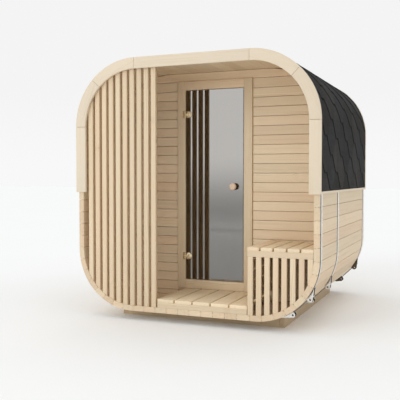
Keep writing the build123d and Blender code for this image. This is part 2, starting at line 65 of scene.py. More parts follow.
# The shell, worked out from its nodes
SHELL_NODES = [
    "shell_floor",
    "shell_top",
    "shell_left_side",
    "shell_right_side",
    "shell_top_left_round",
    "shell_top_right_round",
    "shell_bottom_left_round",
    "shell_bottom_right_round",
]
shell_low, shell_high = span(*SHELL_NODES)
floor_low, floor_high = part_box("shell_floor")
top_round_low, top_round_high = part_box("shell_top_right_round")
bottom_round_low, bottom_round_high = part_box("shell_bottom_right_round")
HALF_WIDTH = shell_high.x
STAVE_THICKNESS = floor_high.z - floor_low.z
TOP_RADIUS = top_round_high.z - top_round_low.z
BOTTOM_RADIUS = bottom_round_high.z - bottom_round_low.z
TOP_CENTER = Vector((top_round_low.x, top_round_low.z))
BOTTOM_CENTER = Vector((bottom_round_low.x, bottom_round_high.z))
FRONT_Y = shell_low.y
REAR_Y = shell_high.y

# Boards: their number or pitch, the height of one joint, and the sizes of joints and edges
STAVE_COUNT = 73
STAVE_JOINT_Z = 1.0938
STAVE_STEPS = 5
PLANK_PITCH = 0.08306
PLANK_JOINT_Z = 2.083
PLANK_SNAP = PLANK_PITCH / 8
PLANK_STEPS = 4
STAVE_GAP = 0.0014
PLANK_GAP = 0.002
JOINT_DEPTH = 0.016
JOINT_EASE = 0.0012
WALL_GAP = 0.0003
END_EASE = 0.0007
EASED_EDGE = 0.0018
FITTING_EDGE = 0.0004

# Board faces, from the surface inwards: how far each level is inset, and its depth.
# A rounded edge's middle lies in from both faces by this share of its size.
ROUNDING = 0.29
PLANK_FACE = (
    (PLANK_GAP + JOINT_EASE, 0.0),
    (PLANK_GAP + ROUNDING * JOINT_EASE, ROUNDING * JOINT_EASE),
    (PLANK_GAP, JOINT_EASE),
    (PLANK_GAP, JOINT_DEPTH),
    (0.0, JOINT_DEPTH),
)
STAVE_END = (
    (END_EASE, 0.0),
    (ROUNDING * END_EASE, ROUNDING * END_EASE),
    (0.0, END_EASE),
)

# The model's meshes: points this near and faces this flat to each other become one, edges
# this sharp are eased, and those that are still this sharp show as creases
SAME_POINT = 1e-5
SAME_FACE = radians(1)
EDGE_TURN = radians(30)
CREASE_TURN = radians(32)

# Bands: no lug reaches this high, and a face that looks this much along Y is a side face
LUG_TOP_Z = 0.36
SIDE_FACING = 0.7

# Black strips under the bands, painted shade for the shadow line beside each band, from the upper
# lugs on the right over the top and round
SHADE_STRIP_FROM_TURN = radians(54)
SHADE_STRIP_LEFT_OUT = radians(22)
SHADE_STRIP_FRONT = 0.016
SHADE_STRIP_BACK = 0.004
SHADE_STRIP_LIFTS = (0.00005, 0.00028)
SHADE_STRIP_STEPS = 400

# Shingles: hexagonal tabs in courses from the hem up
TAB_PITCH = 0.43
TAB_BUTT = 0.095
TAB_EXPOSURE = 0.142
TAB_HEADLAP = 0.03
TAB_THICKNESS = 0.003
# Width of the painted shadow beside the edges of the tabs that lie over a tab
TAB_PAINTED_SHADOW_WIDTH = 0.024
TAB_PHASE_Y = -0.6725
TAB_FIRST_Z = 1.117
TAB_STEPS = 6
TAB_SHOULDER = 0.0003
TAB_CURL = 0.0008
TAB_HEIGHT = 2 * TAB_EXPOSURE + TAB_HEADLAP

# Ridge caps: thin felt across the top, each over the end of the next
CAP_COUNT = 15
CAP_HALF_WIDTH = 0.105
CAP_CORNER = 0.03
CAP_THICKNESS = 0.001


class Signal:
    """One output socket of a finish, with arithmetic that adds Math nodes."""

    def __init__(self, finish, socket):
        self.finish = finish
        self.socket = socket

    def math(self, operation, *values):
        inputs = dict(enumerate(values))
        return self.finish.node("ShaderNodeMath", {"operation": operation}, inputs)

    def __add__(self, other):
        return self.math("ADD", self, other)

    def __sub__(self, other):
        return self.math("SUBTRACT", self, other)

    def __rsub__(self, other):
        return self.math("SUBTRACT", other, self)

    def __mul__(self, other):
        return self.math("MULTIPLY", self, other)

    def __truediv__(self, other):
        return self.math("DIVIDE", self, other)

    def __pow__(self, other):
        return self.math("POWER", self, other)

    def __abs__(self):
        return self.math("ABSOLUTE", self)

    def sine(self):
        return self.math("SINE", self)

    def least(self, other):
        return self.math("MINIMUM", self, other)

    def most(self, other):
        return self.math("MAXIMUM", self, other)

    __radd__ = __add__
    __rmul__ = __mul__


class Finish:
    """A material under construction: one Principled surface and the nodes that feed it."""

    def __init__(self, name, constants):
        self.material = bpy.data.materials.new(name)
        self.material.use_nodes = True
        self.tree = self.material.node_tree
        self.surface = self.tree.nodes["Principled BSDF"]
        for socket, value in constants.items():
            self.surface.inputs[socket].default_value = value

    def plug(self, socket, value):
        if isinstance(value, Signal):
            self.tree.links.new(value.socket, socket)
        else:
            socket.default_value = value

    def node(self, kind, settings, inputs, output=0):
        made = self.tree.nodes.new(kind)
        for key, value in settings.items():
            setattr(made, key, value)
        for socket, value in inputs.items():
            self.plug(made.inputs[socket], value)
        return Signal(self, made.outputs[output])

    def feed(self, socket, value):
        self.plug(self.surface.inputs[socket], value)

    def attribute(self, name, output):
        return self.node("ShaderNodeAttribute", {"attribute_name": name}, {}, output)

    def place(self):
        return self.node("ShaderNodeTexCoord", {}, {}, "Object")

    def stretch(self, vector, factors):
        settings = {"operation": "MULTIPLY"}
        return self.node("ShaderNodeVectorMath", settings, {0: vector, 1: factors})

    def noise(self, vector, scale, detail=2.0, roughness=0.5):
        inputs = {"Vector": vector, "Scale": scale, "Detail": detail, "Roughness": roughness}
        return self.node("ShaderNodeTexNoise", {}, inputs, "Fac")

    def cells(self, vector, scale, output):
        return self.node("ShaderNodeTexVoronoi", {}, {"Vector": vector, "Scale": scale}, output)

    def part(self, vector, axis):
        return self.node("ShaderNodeSeparateXYZ", {}, {0: vector}, axis)

    def join(self, x, y, z):
        return self.node("ShaderNodeCombineXYZ", {}, {0: x, 1: y, 2: z})

    def ramp(self, value, low, high):
        """0 below low and 1 above high, with a soft step between."""
        settings = {"interpolation_type": "SMOOTHSTEP"}
        inputs = {"Value": value, "From Min": low, "From Max": high}
        return self.node("ShaderNodeMapRange", settings, inputs)

    def blend(self, factor, first, second, mode="MIX"):
        settings = {"data_type": "RGBA", "blend_type": mode}
        return self.node("ShaderNodeMix", settings, {0: factor, 6: first, 7: second}, 2)

    def bump(self, height, strength, distance):
        inputs = {"Height": height, "Strength": strength, "Distance": distance}
        self.feed("Normal", self.node("ShaderNodeBump", {}, inputs))


def tint(red, green, blue):
    """A colour written as it looks on screen, 0 to 255, as the shader's linear one."""
    parts = [value / 255 for value in (red, green, blue)]
    linear = [p / 12.92 if p <= 0.04045 else ((p + 0.055) / 1.055) ** 2.4 for p in parts]
    return (*linear, 1.0)


# Finishes
KNOTS_A_METRE = 3.2


def wood(
    name, pale, late, rosy, knot_color, ring_gap=0.0042, contrast=0.42, spread=0.06, rough=0.58
):
    """Planed softwood: year rings round a pith beside each board, fibres and a few small knots.

    It reads each board's own place: across its width, through it and along it.
    """
    finish = Finish(name, {"Specular IOR Level": 0.32})
    grain = finish.attribute("grain", "Vector")
    tone = finish.attribute("tone", "Fac")
    warmth = finish.attribute("warmth", "Fac")
    across = finish.part(grain, "X")
    through = finish.part(grain, "Y")
    along = finish.part(grain, "Z")

    knot_place = finish.join(across, 0.0, along)
    knot_distance = finish.cells(knot_place, KNOTS_A_METRE, "Distance") / KNOTS_A_METRE
    knot_draw = finish.part(finish.cells(knot_place, KNOTS_A_METRE, "Color"), "X")
    knot_kept = finish.ramp(knot_draw, 0.66, 0.68)
    knot = (1 - finish.ramp(knot_distance, 0.005, 0.0085)) * knot_kept
    swirl = (1 - finish.ramp(knot_distance, 0.006, 0.05)) * knot_kept

    wander = finish.noise(finish.stretch(grain, (2.6, 2.6, 1.1)), 1.0, 2.0) - 0.5
    ripple = finish.noise(finish.stretch(grain, (30.0, 30.0, 5.0)), 1.0, 1.0) - 0.5
    reach = (across * across + through * through) ** 0.5
    radius = reach + wander * 0.02 + ripple * 0.0016 + swirl * 0.009
    phase = radius * (2 * pi / ring_gap)
    ring = phase.sine() * 0.5 + 0.5
    latewood = ring ** 3.0

    fibre = finish.noise(finish.stretch(grain, (520.0, 520.0, 9.0)), 1.0, 3.0, 0.6)
    streak = finish.noise(finish.stretch(grain, (55.0, 55.0, 1.2)), 1.0, 2.0)

    color = finish.blend(warmth * 0.8, pale, rosy)
    color = finish.blend(latewood * contrast, color, late)
    color = finish.blend(finish.ramp(streak, 0.45, 0.8) * 0.3, color, late)
    color = finish.blend(finish.ramp(fibre, 0.5, 0.85) * 0.3, color, late)
    color = finish.blend(swirl * 0.3, color, late)
    color = finish.blend(knot * 0.8, color, knot_color)
    shade = 1 - spread + tone * (2 * spread)
    finish.feed("Base Color", finish.blend(1.0, color, shade, "MULTIPLY"))
    finish.feed("Roughness", rough + (fibre - 0.5) * 0.22 - latewood * 0.06)
    finish.bump(latewood * 0.5 + fibre * 0.8 - knot * 0.4, 0.35, 0.0005)
    return finish.material


def shingle():
    """Mineral granules on bitumen felt: dark grey with paler and browner grains, a little worn.

    Beside the edges of the tabs that lie over it, a tab is painted darker, as the shadow that those
    edges cast.
    """
    finish = Finish("mineral_shingle", {"Specular IOR Level": 0.08})
    place = finish.place()
    spot = finish.attribute("tab_place", "Vector")
    aside = finish.part(spot, "X")
    rise = finish.part(spot, "Y")
    tone = finish.attribute("tone", "Fac")
    warmth = finish.attribute("warmth", "Fac")
    grains = finish.part(finish.cells(place, 620.0, "Color"), "X")
    speckle = finish.noise(place, 260.0, 3.0, 0.7)
    patch = finish.noise(finish.stretch(place, (5.0, 5.0, 2.4)), 1.0, 3.0)
    color = finish.blend(finish.ramp(grains, 0.35, 0.95), tint(36, 37, 38), tint(70, 70, 69))
    color = finish.blend(finish.ramp(speckle, 0.52, 0.72) * 0.5, color, tint(26, 26, 26))
    color = finish.blend(warmth * 0.3, color, tint(61, 55, 49))
    color = finish.blend(finish.ramp(patch, 0.5, 0.75) * 0.25, color, tint(78, 77, 75))
    slope = (TAB_PITCH / 2 - TAB_BUTT) / TAB_EXPOSURE
    covered = abs(aside) + (rise - TAB_EXPOSURE) * slope
    near_side = ((TAB_PITCH - TAB_BUTT) / 2 - covered) / sqrt(1 + slope * slope)
    edge = near_side.most(TAB_EXPOSURE - rise).least(2 * TAB_EXPOSURE - rise)
    # Painted shadow: each tab darkens beside the edges of the tabs over it, where their shadow
    # falls
    painted_shadow = 1 - finish.ramp(edge, 0.0, TAB_PAINTED_SHADOW_WIDTH)
    color = finish.blend(painted_shadow * 0.85, color, tint(20, 19, 18))
    shade = 0.78 + tone * 0.44
    finish.feed("Base Color", finish.blend(1.0, color, shade, "MULTIPLY"))
    finish.feed("Roughness", 0.86 + (grains - 0.5) * 0.16)
    finish.bump(grains * 0.7 + speckle * 0.6, 0.7, 0.0012)
    return finish.material


def bitumen():
    """The cut edge of a tab: black felt with torn fibres."""
    finish = Finish("cut_bitumen", {"Specular IOR Level": 0.05})
    torn = finish.noise(finish.place(), 420.0, 3.0, 0.7)
    finish.feed("Base Color", finish.blend(torn, tint(12, 12, 13), tint(30, 30, 31)))
    finish.feed("Roughness", 0.7 + torn * 0.25)
    finish.bump(torn, 0.6, 0.0008)
    return finish.material


def metal(name, color, worn, rough, streaks):
    """Satin metal with fine lines that run one way, and a few duller patches."""
    finish = Finish(name, {"Metallic": 1.0})
    place = finish.place()
    line = finish.noise(finish.stretch(place, streaks), 1.0, 3.0, 0.6)
    patch = finish.noise(place, 14.0, 3.0, 0.6)
    dull = finish.ramp(patch, 0.45, 0.75)
    finish.feed("Base Color", finish.blend(dull * 0.5 + line * 0.2, color, worn))
    finish.feed("Roughness", rough + (line - 0.5) * 0.2 + dull * 0.1)
    finish.bump(line, 0.25, 0.0003)
    return finish.material


def tinted_glass():
    """Tempered glass with a dark mirror tint; a little of what is behind it shows."""
    finish = Finish("tinted_glass", {"Metallic": 1.0})
    place = finish.place()
    wipe = finish.noise(finish.stretch(place, (3.0, 3.0, 1.4)), 1.0, 4.0, 0.55)
    smear = finish.ramp(wipe, 0.45, 0.8)
    finish.feed("Base Color", finish.blend(smear * 0.3, tint(136, 134, 131), tint(131, 129, 126)))
    finish.feed("Roughness", 0.012 + smear * 0.012)
    finish.feed("Alpha", 0.9 + smear * 0.02)
    return finish.material


def dark_steel_and_shade(name, dark, pale):
    """Dark, uneven steel as it leaves the mill; on the bands it also serves as painted shade, along
    their edges, in the lugs and on the rear lugs.
    """
    finish = Finish(name, {"Metallic": 1.0})
    scale = finish.noise(finish.place(), 180.0, 3.0, 0.65)
    finish.feed("Base Color", finish.blend(scale, dark, pale))
    finish.feed("Roughness", 0.55 + (scale - 0.5) * 0.2)
    finish.bump(scale, 0.3, 0.0004)
    return finish.material


def shade_strip():
    """Black strip that lies under the bands: a dark sheet put where the band's shadow line falls.
    """
    finish = Finish("band_painted_shade_strip", {"Specular IOR Level": 0.3})
    pores = finish.noise(finish.place(), 500.0, 2.0, 0.6)
    finish.feed("Base Color", finish.blend(pores, tint(24, 24, 25), tint(46, 46, 47)))
    finish.feed("Roughness", 0.72 + (pores - 0.5) * 0.2)
    finish.bump(pores, 0.3, 0.0003)
    return finish.material


SPRUCE = wood("spruce_planed", tint(232, 214, 185), tint(201, 172, 132), tint(230, 204, 174),
              tint(132, 90, 56))
# A paler copy of the spruce for the porch floor and bench seat: painted light, as if more light
# reached these tops
SPRUCE_PAINTED_LIGHT = wood("spruce_painted_light", tint(245, 228, 197), tint(219, 190, 148), tint(243, 218, 186),
              tint(140, 98, 62))
FASCIA = wood("spruce_fascia", tint(231, 218, 197), tint(209, 186, 151), tint(229, 214, 191),
              tint(150, 110, 74), contrast=0.34, spread=0.025)
# The base frame: the spruce painted darker, as the shade under the shell
BASE_PAINTED_SHADE = wood("base_timber", tint(206, 186, 155), tint(172, 145, 109), tint(204, 180, 149),
            tint(108, 76, 50), rough=0.66)
TURNED = wood("turned_knob", tint(236, 214, 190), tint(214, 182, 150), tint(236, 206, 184),
              tint(150, 106, 72), ring_gap=0.0032, contrast=0.45, rough=0.42)
SHINGLE = shingle()
BITUMEN = bitumen()
BAND = metal("band_steel", tint(236, 234, 230), tint(206, 202, 195), 0.26, (4.0, 900.0, 4.0))
BOLT = metal("bolt_steel", tint(138, 136, 133), tint(104, 101, 97), 0.28, (300.0, 300.0, 30.0))
BRASS = metal("hinge_brass", tint(230, 214, 180), tint(196, 176, 138), 0.26, (30.0, 30.0, 700.0))
GLASS = tinted_glass()
# Dark steel for the bands' cut edges and lug hollows, partly mill scale and partly painted shade; a
# browner copy paints shade on the rear band's lugs
MILL_STEEL_AND_SHADE = dark_steel_and_shade("mill_steel_and_painted_shade", tint(34, 33, 32), tint(62, 60, 58))
REAR_LUG_SHADE = dark_steel_and_shade("rear_lug_painted_shade", tint(84, 72, 57), tint(122, 107, 88))
SHADE_STRIP = shade_strip()


# Meshes of boards
def mesh_of(name, points, faces):
    made = bpy.data.meshes.new(name)
    made.from_pydata(points, [], faces)
    return made


def islands(mesh):
    """For each vertex, the number of the board that it belongs to."""
    count = len(mesh.vertices)
    edges = np.empty(len(mesh.edges) * 2, int)
    mesh.edges.foreach_get("vertices", edges)
    first, second = edges.reshape(-1, 2).T
    label = np.arange(count)
    while True:
        lower = np.minimum(label[first], label[second])
        changed = label.copy()
        np.minimum.at(changed, first, lower)
        np.minimum.at(changed, second, lower)
        changed = changed[changed]
        if (changed == label).all():
            return np.unique(label, return_inverse=True)[1]
        label = changed


def mark_grain(mesh, pith_near=0.03, pith_far=0.1):
    """Give each board its own grain: its long way is the fibre's, with a pith beside it."""
    label = islands(mesh)
    points = np.empty(len(mesh.vertices) * 3)
    mesh.vertices.foreach_get("co", points)
    points = points.reshape(-1, 3)
    grain = np.empty_like(points)
    tone = np.empty(len(points))
    warmth = np.empty(len(points))
    for board in range(label.max() + 1):
        mine = label == board
        own = points[mine]
        local = own - (own.min(0) + own.max(0)) / 2
        ways = np.linalg.eigh(local.T @ local)[1]
        thin, wide, long = ways.T
        half_width = np.abs(local @ wide).max()
        pith = (
            chance.choice((-1, 1)) * chance.uniform(0.7, 3.0) * half_width,
            chance.choice((-1, 1)) * chance.uniform(pith_near, pith_far),
            chance.uniform(0, 40),
        )
        grain[mine] = np.stack([local @ wide, local @ thin, local @ long], 1) + pith
        tone[mine] = chance.random()
        warmth[mine] = chance.random() ** 1.5
    mesh.attributes.new("grain", "FLOAT_VECTOR", "POINT").data.foreach_set("vector", grain.ravel())
    mesh.attributes.new("tone", "FLOAT", "POINT").data.foreach_set("value", tone)
    mesh.attributes.new("warmth", "FLOAT", "POINT").data.foreach_set("value", warmth)


def show(name, mesh, materials, body, replaced=()):
    """Put a finished mesh in the scene as a piece that rides on a body."""
    for material in materials:
        mesh.materials.append(material)
    piece = bpy.data.objects.new(name, mesh)
    bpy.context.scene.collection.objects.link(piece)
    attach(piece, body)
    if replaced:
        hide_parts(*replaced)


def inset(outline, distance):
    """A closed outline moved inwards by a distance; it runs counter-clockwise."""
    moved = []
    for before, here, after in zip(outline[-1:] + outline[:-1], outline, outline[1:] + outline[:1]):
        first = (here - before).normalized()
        second = (after - here).normalized()
        normal_a = Vector((-first.y, first.x))
        normal_b = Vector((-second.y, second.x))
        moved.append(here + (normal_a + normal_b) * (distance / (1 + normal_a.dot(normal_b))))
    return moved


class Boards:
    """Boards with an outline in X and Z and a length in Y, gathered into one mesh."""

    def __init__(self):
        self.points = []
        self.faces = []

    def add(self, outline, front_y, back_y, face):
        count = len(outline)
        start = len(self.points)
        fronts = [(inset(outline, narrower), front_y + depth) for narrower, depth in face]
        backs = [(inset(outline, narrower), back_y - depth) for narrower, depth in face[::-1]]
        rings = fronts + backs
        for ring, y in rings:
            self.points += [(point.x, y, point.y) for point in ring]
        for level in range(len(rings) - 1):
            near = start + level * count
            far = near + count
            for i in range(count):
                j = (i + 1) % count
                self.faces.append((near + i, far + i, far + j, near + j))
        last = start + (len(rings) - 1) * count
        self.faces.append(tuple(range(start, start + count)))
        self.faces.append(tuple(reversed(range(last, last + count))))

    def mesh(self, name):
        made = mesh_of(name, self.points, self.faces)
        mark_grain(made)
        return made


# The shell's staves
def shell_legs():
    """The outline of the shell from the middle of the floor to the right, up and round.

    Each leg is (length, function of the way along it), which gives a point and the way out.
    """
    side_z = TOP_CENTER.y - BOTTOM_CENTER.y

    def straight(start, along, out):
        return lambda way: (start + along * way, out)

    def bend(center, radius, turn):
        def place(way):
            angle = turn + way / radius
            out = Vector((cos(angle), sin(angle)))
            return center + out * radius, out

        return place

    left = Vector((-1, 1))
    right_way, up, left_way, down = (Vector(way) for way in ((1, 0), (0, 1), (-1, 0), (0, -1)))
    floor_start = Vector((0, shell_low.z))
    right_start = Vector((HALF_WIDTH, BOTTOM_CENTER.y))
    top_start = Vector((TOP_CENTER.x, shell_high.z))
    left_start = Vector((-HALF_WIDTH, TOP_CENTER.y))
    last_start = Vector((-BOTTOM_CENTER.x, shell_low.z))
    return [
        (BOTTOM_CENTER.x, straight(floor_start, right_way, down)),
        (BOTTOM_RADIUS * pi / 2, bend(BOTTOM_CENTER, BOTTOM_RADIUS, -pi / 2)),
        (side_z, straight(right_start, up, right_way)),
        (TOP_RADIUS * pi / 2, bend(TOP_CENTER, TOP_RADIUS, 0)),
        (2 * TOP_CENTER.x, straight(top_start, left_way, up)),
        (TOP_RADIUS * pi / 2, bend(TOP_CENTER * left, TOP_RADIUS, pi / 2)),
        (side_z, straight(left_start, down, left_way)),
        (BOTTOM_RADIUS * pi / 2, bend(BOTTOM_CENTER * left, BOTTOM_RADIUS, pi)),
        (BOTTOM_CENTER.x, straight(last_start, right_way, down)),
    ]


LEGS = shell_legs()
GIRTH = sum(length for length, _ in LEGS)
SHADE_STRIP_START = LEGS[0][0] + BOTTOM_RADIUS * SHADE_STRIP_FROM_TURN
SHADE_STRIP_REACH = GIRTH - BOTTOM_RADIUS * SHADE_STRIP_LEFT_OUT


def shell_at(way):
    """Point on the shell's outer face and the way out, at a distance round from the floor."""
    way %= GIRTH
    for length, place in LEGS:
        if way <= length:
            return place(way)
        way -= length
    return LEGS[-1][1](LEGS[-1][0])


def stave_outline(start, end):
    """Section of one stave, with an open joint and eased edges at both faces."""

    def at(way, depth):
        point, out = shell_at(way)
        return point - out * depth

    margin = STAVE_GAP + JOINT_EASE
    width = end - start - 2 * margin
    ways = [start + margin + width * i / STAVE_STEPS for i in range(STAVE_STEPS + 1)]
    outside = [at(way, 0) for way in ways]
    inside = [at(way, STAVE_THICKNESS) for way in reversed(ways)]
    joint = (
        (STAVE_GAP, JOINT_EASE),
        (STAVE_GAP, JOINT_DEPTH),
        (0, JOINT_DEPTH),
        (0, STAVE_THICKNESS - JOINT_DEPTH),
        (STAVE_GAP, STAVE_THICKNESS - JOINT_DEPTH),
        (STAVE_GAP, STAVE_THICKNESS - JOINT_EASE),
    )
    end_joint = [at(end - gap, depth) for gap, depth in joint]
    start_joint = [at(start + gap, depth) for gap, depth in reversed(joint)]
    return outside + end_joint + inside + start_joint


def build_staves():
    """Front-to-back staves all round, with a joint where the right side shows one."""
    pitch = GIRTH / STAVE_COUNT
    joint_way = LEGS[0][0] + LEGS[1][0] + STAVE_JOINT_Z - BOTTOM_CENTER.y
    staves = Boards()
    for i in range(STAVE_COUNT):
        start = joint_way + i * pitch
        staves.add(stave_outline(start, start + pitch), FRONT_Y, REAR_Y, STAVE_END)
    show("shell_staves", staves.mesh("shell_staves"), [SPRUCE], BUILDING, SHELL_NODES)


# Planked end walls
def half_width_at(z):
    """Half of the clear width inside the shell at a height."""
    shrink = STAVE_THICKNESS + WALL_GAP
    rounds = ((BOTTOM_CENTER, BOTTOM_RADIUS, False), (TOP_CENTER, TOP_RADIUS, True))
    for center, radius, above in rounds:
        reach = radius - shrink
        rise = (z - center.y) if above else (center.y - z)
        if rise > 0:
            return center.x + sqrt(max(reach * reach - rise * rise, 0))
    return HALF_WIDTH - shrink


def plank_outline(left, right, low, high):
    """Section of a plank between two heights, cut to the shell where it meets it."""
    heights = [low + (high - low) * i / PLANK_STEPS for i in range(PLANK_STEPS + 1)]

    def side(limit, sign):
        ends = [(sign * min(sign * limit, half_width_at(z)), z) for z in heights]
        straight = max(abs(x - ends[0][0]) for x, _ in ends) < WALL_GAP
        return [Vector(end) for end in (ends[::PLANK_STEPS] if straight else ends)]

    return side(right, 1) + side(left, -1)[::-1]


def plank_rows(low, high, snaps=()):
    """Lowest and highest edge of each row of planks; a joint near a snap moves to it."""
    joints = []
    joint = PLANK_JOINT_Z - PLANK_PITCH * ceil((PLANK_JOINT_Z - low) / PLANK_PITCH)
    while joint < high:
        near = [snap for snap in snaps if abs(snap - joint) < PLANK_SNAP]
        joints.append(near[0] if near else joint)
        joint += PLANK_PITCH
    inner = [joint for joint in joints if low + WALL_GAP < joint < high - WALL_GAP]
    return list(zip([low] + inner, inner + [high]))


def build_front_wall():
    names = ["front_wall_left", "front_wall_right", "front_wall_over_door", "front_wall_under_door"]
    low, high = span(*names)
    over_low, over_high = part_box("front_wall_over_door")
    under_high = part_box("front_wall_under_door")[1]
    planks = Boards()
    for row_low, row_high in plank_rows(low.z, high.z, [over_low.z]):
        if row_low >= over_low.z - WALL_GAP:
            planks.add(plank_outline(low.x, high.x, row_low, row_high), low.y, high.y, PLANK_FACE)
            continue
        for left, right in ((low.x, over_low.x), (over_high.x, high.x)):
            planks.add(plank_outline(left, right, row_low, row_high), low.y, high.y, PLANK_FACE)
        if row_low < under_high.z:
            row_top = min(row_high, under_high.z)
            filler = plank_outline(over_low.x, over_high.x, row_low, row_top)
            planks.add(filler, low.y, high.y, PLANK_FACE)
    mesh = planks.mesh("front_wall_planks")
    show("front_wall_planks", mesh, [SPRUCE], BUILDING, names)


def build_rear_wall():
    low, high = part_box("rear_wall")
    planks = Boards()
    for row_low, row_high in plank_rows(low.z, high.z):
        planks.add(plank_outline(low.x, high.x, row_low, row_high), low.y, high.y, PLANK_FACE)
    mesh = planks.mesh("rear_wall_planks")
    show("rear_wall_planks", mesh, [SPRUCE], BUILDING, ["rear_wall"])


# Pieces whose shape the model already has
def eased_mesh(name, sources, ease):
    """The shapes of several nodes in one mesh, with their sharp edges eased."""
    gathered = bmesh.new()
    for source in sources:
        own = bmesh.new()
        own.from_mesh(nodes[source].data)
        bmesh.ops.remove_doubles(own, verts=own.verts, dist=SAME_POINT)
        bmesh.ops.dissolve_limit(own, angle_limit=SAME_FACE, verts=own.verts, edges=own.edges)
        sharp = [e for e in own.edges if e.is_manifold and e.calc_face_angle(0) > EDGE_TURN]
        bmesh.ops.bevel(
            own,
            geom=sharp,
            offset=ease,
            offset_type="OFFSET",
            segments=2,
            profile=0.5,
            affect="EDGES",
            clamp_overlap=True,
        )
        part = bpy.data.meshes.new("part")
        own.to_mesh(part)
        own.free()
        gathered.from_mesh(part)
        bpy.data.meshes.remove(part)
    made = bpy.data.meshes.new(name)
    gathered.to_mesh(made)
    gathered.free()
    made.shade_smooth()
    made.set_sharp_from_angle(angle=CREASE_TURN)
    mark_grain(made)
    return made


FASCIA_NODES = [
    "front_fascia_left_post",
    "front_fascia_left_lower_bend",
    "front_fascia_left_upper_bend",
    "front_fascia_lintel",
    "front_fascia_right_upper_bend",
    "front_fascia_right_lower_bend",
    "front_fascia_right_post",
]
BASE_NODES = [
    "base_rail_left",
    "base_rail_right",
    "base_front_beam",
    "base_middle_beam",
    "base_rear_beam",
]
EASED_BOARDS = [
    ("base_timbers", BASE_NODES, BASE_PAINTED_SHADE, "base_wood"),
    ("front_fascia_boards", FASCIA_NODES, FASCIA, "fascia_wood"),
    ("rear_fascia_boards", ["rear_fascia"], FASCIA, "fascia_wood"),
    ("drip_trims", ["drip_battens"], FASCIA, "fascia_wood"),
    ("door_frame", ["door_jambs", "door_head", "door_sill"], SPRUCE, "spruce"),
    ("screen", ["screen_slats"], SPRUCE, "spruce"),
    ("porch_boards", ["porch_floor_boards"], SPRUCE_PAINTED_LIGHT, "spruce"),
    ("cabin_boards", ["cabin_floor_boards"], SPRUCE, "spruce"),
    ("bearers", ["floor_bearers"], SPRUCE, "spruce"),
    ("bench_seat", ["bench_top_boards"], SPRUCE_PAINTED_LIGHT, "spruce"),
    ("bench_frame", ["bench_rails"], SPRUCE, "spruce"),
    ("bench_slats", ["bench_front_slats"], SPRUCE, "spruce"),
    ("bench_cladding", ["bench_cladding_boards"], SPRUCE, "spruce"),
    ("cabin_bench_seat", ["cabin_bench_boards"], SPRUCE, "spruce"),
    ("cabin_bench_trestles", ["cabin_bench_frames"], SPRUCE, "spruce"),
]
EASED_FITTINGS = [
    ("band_bolts", "tension_bolts", BOLT, BUILDING, "band_steel"),
    ("fixed_hinge_halves", "hinge_plates", BRASS, BUILDING, "hinge_brass"),
    ("glass_clamps", "hinge_clamps", BRASS, DOOR, "hinge_brass"),
]


def build_eased_pieces():
    for name, sources, finish, slot in EASED_BOARDS:
        show(name, eased_mesh(name, sources, EASED_EDGE), [finish], BUILDING, sources)
    for name, source, finish, body, slot in EASED_FITTINGS:
        show(name, eased_mesh(name, [source], FITTING_EDGE), [finish], body, [source])


# Steel bands
def build_bands():
    """The bands with their lugs, on black strips that stand in for the shadow line beside each
    band.

    Their cut edges and the sides of a lug's plates that face each other are dark steel, partly mill
    scale and partly painted shade, and the rear band's lugs are painted darker and browner, as
    shade. Cuts at the lugs' limits let a face change there.
    """
    mesh = eased_mesh("bands", ["steel_bands"], FITTING_EDGE)
    cut = bmesh.new()
    cut.from_mesh(mesh)
    limits = (((0, 0, LUG_TOP_Z), (0, 0, 1)), ((BOTTOM_CENTER.x, 0, 0), (1, 0, 0)))
    for place, way in limits:
        whole = cut.verts[:] + cut.edges[:] + cut.faces[:]
        bmesh.ops.bisect_plane(cut, geom=whole, plane_co=place, plane_no=way)
    cut.to_mesh(mesh)
    cut.free()
    label = islands(mesh)
    places = np.empty(len(mesh.vertices) * 3)
    mesh.vertices.foreach_get("co", places)
    depths = places.reshape(-1, 3)[:, 1]
    spans = [(depths[label == band].min(), depths[label == band].max()) for band in set(label)]
    rear = max(spans)
    for face in mesh.polygons:
        low, high = spans[label[face.vertices[0]]]
        inside = low + FITTING_EDGE * 2 < face.center.y < high - FITTING_EDGE * 2
        by_lugs = face.center.z < LUG_TOP_Z and face.center.x > BOTTOM_CENTER.x
        # Cut edges and facing lug plates take the dark steel, partly painted shade; the rear band's
        # lugs take the browner painted shade
        if abs(face.normal.y) > SIDE_FACING and (inside or not by_lugs):
            face.material_index = 1
        elif (low, high) == rear and by_lugs:
            face.material_index = 2
    finishes = [BAND, MILL_STEEL_AND_SHADE, REAR_LUG_SHADE]
    show("bands", mesh, finishes, BUILDING, ["steel_bands"])

    # Black strips under each band, wider at the front: painted shade for the shadow line beside the
    # band
    points, faces = [], []
    for low, high in spans:
        edges = (low - SHADE_STRIP_FRONT, high + SHADE_STRIP_BACK)
        start = len(points)
        for i in range(SHADE_STRIP_STEPS):
            point, out = shell_at(SHADE_STRIP_START + SHADE_STRIP_REACH * i / (SHADE_STRIP_STEPS - 1))
            for lift in SHADE_STRIP_LIFTS:
                x, z = point + out * lift
                points += [(x, y, z) for y in edges]
        for i in range(SHADE_STRIP_STEPS - 1):
            a = start + 4 * i
            b = a + 4
            faces += [(a + 2, a + 3, b + 3, b + 2), (a, b, b + 1, a + 1)]
            faces += [(a, a + 2, b + 2, b), (a + 1, b + 1, b + 3, a + 3)]
        last = start + 4 * (SHADE_STRIP_STEPS - 1)
        faces += [(start, start + 1, start + 3, start + 2), (last, last + 2, last + 3, last + 1)]
    strips = mesh_of("band_shade_strips", points, faces)
    show("band_shade_strips", strips, [SHADE_STRIP], BUILDING)


